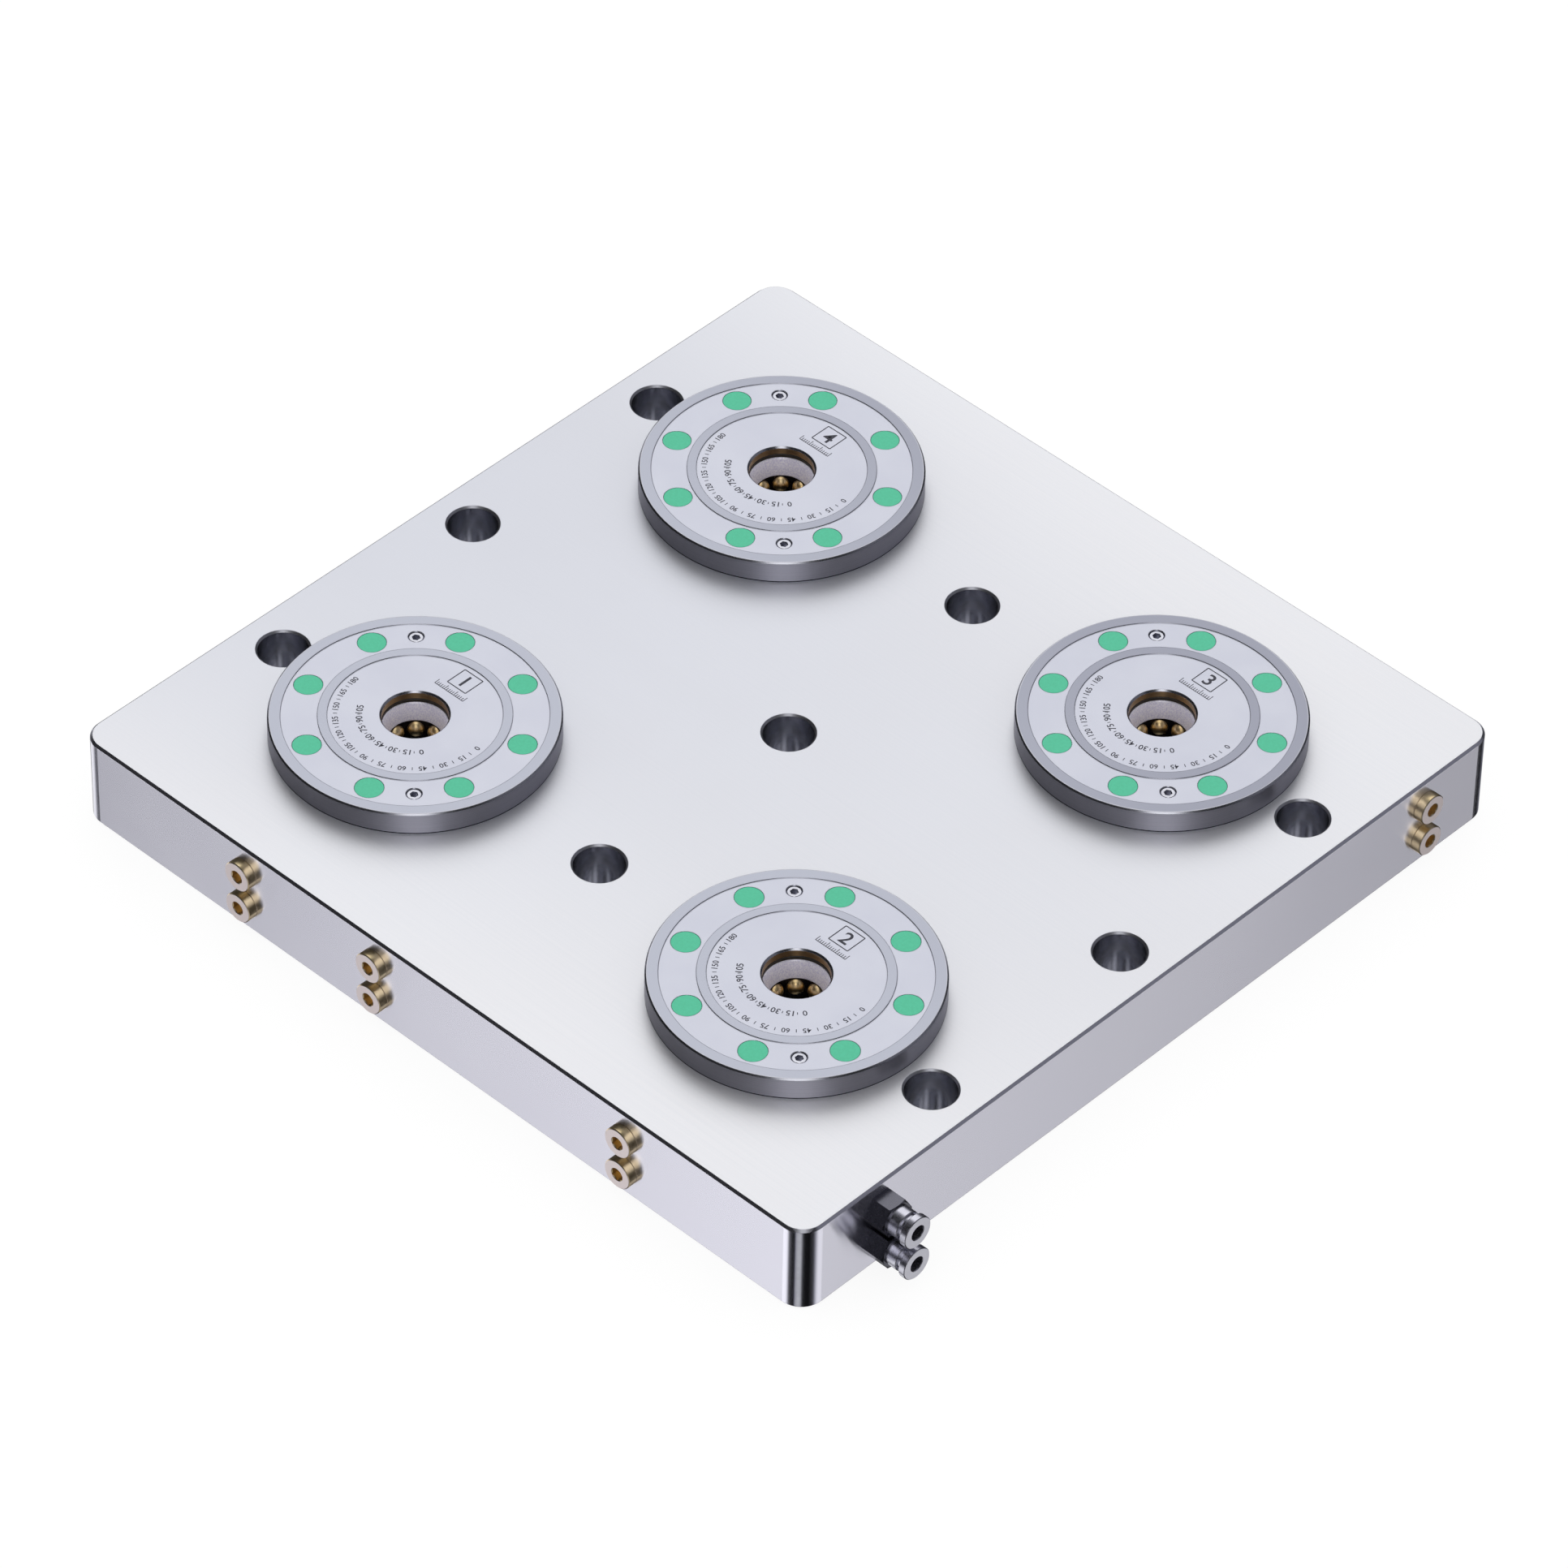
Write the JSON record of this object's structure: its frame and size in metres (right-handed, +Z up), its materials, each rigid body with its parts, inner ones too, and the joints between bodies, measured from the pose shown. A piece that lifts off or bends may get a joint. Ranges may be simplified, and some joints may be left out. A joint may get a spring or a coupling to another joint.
{
  "type": "zero point chuck",
  "caption": "Square zero point clamping plate with round raised stations, ball-locked pull stud seats, green screw caps, brass channel plugs and push-in air fittings.",
  "frame": {"origin": "axis of the centre mounting hole at the underside of the plate", "axes": "+Z up, out of the stations; +X towards the side with the air fittings; -Y towards the side with three pairs of plugs"},
  "size_m": [0.399, 0.384, 0.05],
  "materials": {
    "plate_steel": "fine ground",
    "flange_steel": "hardened and ground",
    "cage_steel": "hardened, dark",
    "piston_steel": "hardened",
    "ball_steel": "polished",
    "spring_steel": "phosphated",
    "seal_rubber": "matt",
    "wiper_rubber": "matt",
    "screw_steel": "blackened",
    "cap_green": "matt",
    "plug_brass": "turned",
    "fitting_nickel": "nickel plated"
  },
  "bodies": {
    "housing": {"base_plate": "plate_steel", "flange_cover_1": "flange_steel", "flange_cover_2": "flange_steel", "flange_cover_3": "flange_steel", "flange_cover_4": "flange_steel", "ball_cage_1": "cage_steel", "ball_cage_2": "cage_steel", "ball_cage_3": "cage_steel", "ball_cage_4": "cage_steel", "disc_springs": "spring_steel", "cover_seals": "seal_rubber", "cage_seals": "seal_rubber", "wiper_rings": "wiper_rubber", "flange_screws": "screw_steel", "screw_caps": "cap_green", "jacking_screws": "screw_steel", "channel_plugs": "plug_brass", "air_fittings": "fitting_nickel"},
    "piston_1": {"piston_1": "piston_steel", "piston_seal_1": "seal_rubber"},
    "piston_2": {"piston_2": "piston_steel", "piston_seal_2": "seal_rubber"},
    "piston_3": {"piston_3": "piston_steel", "piston_seal_3": "seal_rubber"},
    "piston_4": {"piston_4": "piston_steel", "piston_seal_4": "seal_rubber"},
    "ball_1_1": {"ball_1_1": "ball_steel"},
    "ball_1_2": {"ball_1_2": "ball_steel"},
    "ball_1_3": {"ball_1_3": "ball_steel"},
    "ball_1_4": {"ball_1_4": "ball_steel"},
    "ball_1_5": {"ball_1_5": "ball_steel"},
    "ball_1_6": {"ball_1_6": "ball_steel"},
    "ball_1_7": {"ball_1_7": "ball_steel"},
    "ball_1_8": {"ball_1_8": "ball_steel"},
    "ball_2_1": {"ball_2_1": "ball_steel"},
    "ball_2_2": {"ball_2_2": "ball_steel"},
    "ball_2_3": {"ball_2_3": "ball_steel"},
    "ball_2_4": {"ball_2_4": "ball_steel"},
    "ball_2_5": {"ball_2_5": "ball_steel"},
    "ball_2_6": {"ball_2_6": "ball_steel"},
    "ball_2_7": {"ball_2_7": "ball_steel"},
    "ball_2_8": {"ball_2_8": "ball_steel"},
    "ball_3_1": {"ball_3_1": "ball_steel"},
    "ball_3_2": {"ball_3_2": "ball_steel"},
    "ball_3_3": {"ball_3_3": "ball_steel"},
    "ball_3_4": {"ball_3_4": "ball_steel"},
    "ball_3_5": {"ball_3_5": "ball_steel"},
    "ball_3_6": {"ball_3_6": "ball_steel"},
    "ball_3_7": {"ball_3_7": "ball_steel"},
    "ball_3_8": {"ball_3_8": "ball_steel"},
    "ball_4_1": {"ball_4_1": "ball_steel"},
    "ball_4_2": {"ball_4_2": "ball_steel"},
    "ball_4_3": {"ball_4_3": "ball_steel"},
    "ball_4_4": {"ball_4_4": "ball_steel"},
    "ball_4_5": {"ball_4_5": "ball_steel"},
    "ball_4_6": {"ball_4_6": "ball_steel"},
    "ball_4_7": {"ball_4_7": "ball_steel"},
    "ball_4_8": {"ball_4_8": "ball_steel"},
    "release_sleeve_unlock": {"release_sleeve_unlock": "fitting_nickel"},
    "release_sleeve_lock": {"release_sleeve_lock": "fitting_nickel"}
  },
  "joints": [
    {"name": "piston_1_slide", "type": "slide", "parent": "housing", "child": "piston_1", "axis": [0, 0, 1], "range_m": [0, 0.005], "stiffness_N_per_m": 2000, "springref_m": -0.01, "deforming": ["disc_springs"]},
    {"name": "piston_2_slide", "type": "slide", "parent": "housing", "child": "piston_2", "axis": [0, 0, 1], "range_m": [0, 0.005]},
    {"name": "piston_3_slide", "type": "slide", "parent": "housing", "child": "piston_3", "axis": [0, 0, 1], "range_m": [0, 0.005]},
    {"name": "piston_4_slide", "type": "slide", "parent": "housing", "child": "piston_4", "axis": [0, 0, 1], "range_m": [0, 0.005]},
    {"name": "ball_1_1_slide", "type": "slide", "parent": "housing", "child": "ball_1_1", "axis": [1, 0, 0], "range_m": [0, 0.003]},
    {"name": "ball_1_2_slide", "type": "slide", "parent": "housing", "child": "ball_1_2", "axis": [0.7071, 0.7071, 0], "range_m": [0, 0.003]},
    {"name": "ball_1_3_slide", "type": "slide", "parent": "housing", "child": "ball_1_3", "axis": [0, 1, 0], "range_m": [0, 0.003]},
    {"name": "ball_1_4_slide", "type": "slide", "parent": "housing", "child": "ball_1_4", "axis": [-0.7071, 0.7071, 0], "range_m": [0, 0.003]},
    {"name": "ball_1_5_slide", "type": "slide", "parent": "housing", "child": "ball_1_5", "axis": [-1, 0, 0], "range_m": [0, 0.003]},
    {"name": "ball_1_6_slide", "type": "slide", "parent": "housing", "child": "ball_1_6", "axis": [-0.7071, -0.7071, 0], "range_m": [0, 0.003]},
    {"name": "ball_1_7_slide", "type": "slide", "parent": "housing", "child": "ball_1_7", "axis": [0, -1, 0], "range_m": [0, 0.003]},
    {"name": "ball_1_8_slide", "type": "slide", "parent": "housing", "child": "ball_1_8", "axis": [0.7071, -0.7071, 0], "range_m": [0, 0.003]},
    {"name": "ball_2_1_slide", "type": "slide", "parent": "housing", "child": "ball_2_1", "axis": [1, 0, 0], "range_m": [0, 0.003]},
    {"name": "ball_2_2_slide", "type": "slide", "parent": "housing", "child": "ball_2_2", "axis": [0.7071, 0.7071, 0], "range_m": [0, 0.003]},
    {"name": "ball_2_3_slide", "type": "slide", "parent": "housing", "child": "ball_2_3", "axis": [0, 1, 0], "range_m": [0, 0.003]},
    {"name": "ball_2_4_slide", "type": "slide", "parent": "housing", "child": "ball_2_4", "axis": [-0.7071, 0.7071, 0], "range_m": [0, 0.003]},
    {"name": "ball_2_5_slide", "type": "slide", "parent": "housing", "child": "ball_2_5", "axis": [-1, 0, 0], "range_m": [0, 0.003]},
    {"name": "ball_2_6_slide", "type": "slide", "parent": "housing", "child": "ball_2_6", "axis": [-0.7071, -0.7071, 0], "range_m": [0, 0.003]},
    {"name": "ball_2_7_slide", "type": "slide", "parent": "housing", "child": "ball_2_7", "axis": [0, -1, 0], "range_m": [0, 0.003]},
    {"name": "ball_2_8_slide", "type": "slide", "parent": "housing", "child": "ball_2_8", "axis": [0.7071, -0.7071, 0], "range_m": [0, 0.003]},
    {"name": "ball_3_1_slide", "type": "slide", "parent": "housing", "child": "ball_3_1", "axis": [1, 0, 0], "range_m": [0, 0.003]},
    {"name": "ball_3_2_slide", "type": "slide", "parent": "housing", "child": "ball_3_2", "axis": [0.7071, 0.7071, 0], "range_m": [0, 0.003]},
    {"name": "ball_3_3_slide", "type": "slide", "parent": "housing", "child": "ball_3_3", "axis": [0, 1, 0], "range_m": [0, 0.003]},
    {"name": "ball_3_4_slide", "type": "slide", "parent": "housing", "child": "ball_3_4", "axis": [-0.7071, 0.7071, 0], "range_m": [0, 0.003]},
    {"name": "ball_3_5_slide", "type": "slide", "parent": "housing", "child": "ball_3_5", "axis": [-1, 0, 0], "range_m": [0, 0.003]},
    {"name": "ball_3_6_slide", "type": "slide", "parent": "housing", "child": "ball_3_6", "axis": [-0.7071, -0.7071, 0], "range_m": [0, 0.003]},
    {"name": "ball_3_7_slide", "type": "slide", "parent": "housing", "child": "ball_3_7", "axis": [0, -1, 0], "range_m": [0, 0.003]},
    {"name": "ball_3_8_slide", "type": "slide", "parent": "housing", "child": "ball_3_8", "axis": [0.7071, -0.7071, 0], "range_m": [0, 0.003]},
    {"name": "ball_4_1_slide", "type": "slide", "parent": "housing", "child": "ball_4_1", "axis": [1, 0, 0], "range_m": [0, 0.003]},
    {"name": "ball_4_2_slide", "type": "slide", "parent": "housing", "child": "ball_4_2", "axis": [0.7071, 0.7071, 0], "range_m": [0, 0.003]},
    {"name": "ball_4_3_slide", "type": "slide", "parent": "housing", "child": "ball_4_3", "axis": [0, 1, 0], "range_m": [0, 0.003]},
    {"name": "ball_4_4_slide", "type": "slide", "parent": "housing", "child": "ball_4_4", "axis": [-0.7071, 0.7071, 0], "range_m": [0, 0.003]},
    {"name": "ball_4_5_slide", "type": "slide", "parent": "housing", "child": "ball_4_5", "axis": [-1, 0, 0], "range_m": [0, 0.003]},
    {"name": "ball_4_6_slide", "type": "slide", "parent": "housing", "child": "ball_4_6", "axis": [-0.7071, -0.7071, 0], "range_m": [0, 0.003]},
    {"name": "ball_4_7_slide", "type": "slide", "parent": "housing", "child": "ball_4_7", "axis": [0, -1, 0], "range_m": [0, 0.003]},
    {"name": "ball_4_8_slide", "type": "slide", "parent": "housing", "child": "ball_4_8", "axis": [0.7071, -0.7071, 0], "range_m": [0, 0.003]},
    {"name": "release_sleeve_unlock_press", "type": "slide", "parent": "housing", "child": "release_sleeve_unlock", "axis": [-1, 0, 0], "range_m": [0, 0.0015], "stiffness_N_per_m": 300, "springref_m": -0.002},
    {"name": "release_sleeve_lock_press", "type": "slide", "parent": "housing", "child": "release_sleeve_lock", "axis": [-1, 0, 0], "range_m": [0, 0.0015], "stiffness_N_per_m": 300, "springref_m": -0.002}
  ],
  "couplings": [
    {"joint": "piston_2_slide", "follows": "piston_1_slide", "ratio": 1},
    {"joint": "piston_3_slide", "follows": "piston_1_slide", "ratio": 1},
    {"joint": "piston_4_slide", "follows": "piston_1_slide", "ratio": 1},
    {"joint": "ball_1_1_slide", "follows": "piston_1_slide", "ratio": 0.6},
    {"joint": "ball_1_2_slide", "follows": "piston_1_slide", "ratio": 0.6},
    {"joint": "ball_1_3_slide", "follows": "piston_1_slide", "ratio": 0.6},
    {"joint": "ball_1_4_slide", "follows": "piston_1_slide", "ratio": 0.6},
    {"joint": "ball_1_5_slide", "follows": "piston_1_slide", "ratio": 0.6},
    {"joint": "ball_1_6_slide", "follows": "piston_1_slide", "ratio": 0.6},
    {"joint": "ball_1_7_slide", "follows": "piston_1_slide", "ratio": 0.6},
    {"joint": "ball_1_8_slide", "follows": "piston_1_slide", "ratio": 0.6},
    {"joint": "ball_2_1_slide", "follows": "piston_1_slide", "ratio": 0.6},
    {"joint": "ball_2_2_slide", "follows": "piston_1_slide", "ratio": 0.6},
    {"joint": "ball_2_3_slide", "follows": "piston_1_slide", "ratio": 0.6},
    {"joint": "ball_2_4_slide", "follows": "piston_1_slide", "ratio": 0.6},
    {"joint": "ball_2_5_slide", "follows": "piston_1_slide", "ratio": 0.6},
    {"joint": "ball_2_6_slide", "follows": "piston_1_slide", "ratio": 0.6},
    {"joint": "ball_2_7_slide", "follows": "piston_1_slide", "ratio": 0.6},
    {"joint": "ball_2_8_slide", "follows": "piston_1_slide", "ratio": 0.6},
    {"joint": "ball_3_1_slide", "follows": "piston_1_slide", "ratio": 0.6},
    {"joint": "ball_3_2_slide", "follows": "piston_1_slide", "ratio": 0.6},
    {"joint": "ball_3_3_slide", "follows": "piston_1_slide", "ratio": 0.6},
    {"joint": "ball_3_4_slide", "follows": "piston_1_slide", "ratio": 0.6},
    {"joint": "ball_3_5_slide", "follows": "piston_1_slide", "ratio": 0.6},
    {"joint": "ball_3_6_slide", "follows": "piston_1_slide", "ratio": 0.6},
    {"joint": "ball_3_7_slide", "follows": "piston_1_slide", "ratio": 0.6},
    {"joint": "ball_3_8_slide", "follows": "piston_1_slide", "ratio": 0.6},
    {"joint": "ball_4_1_slide", "follows": "piston_1_slide", "ratio": 0.6},
    {"joint": "ball_4_2_slide", "follows": "piston_1_slide", "ratio": 0.6},
    {"joint": "ball_4_3_slide", "follows": "piston_1_slide", "ratio": 0.6},
    {"joint": "ball_4_4_slide", "follows": "piston_1_slide", "ratio": 0.6},
    {"joint": "ball_4_5_slide", "follows": "piston_1_slide", "ratio": 0.6},
    {"joint": "ball_4_6_slide", "follows": "piston_1_slide", "ratio": 0.6},
    {"joint": "ball_4_7_slide", "follows": "piston_1_slide", "ratio": 0.6},
    {"joint": "ball_4_8_slide", "follows": "piston_1_slide", "ratio": 0.6}
  ]
}
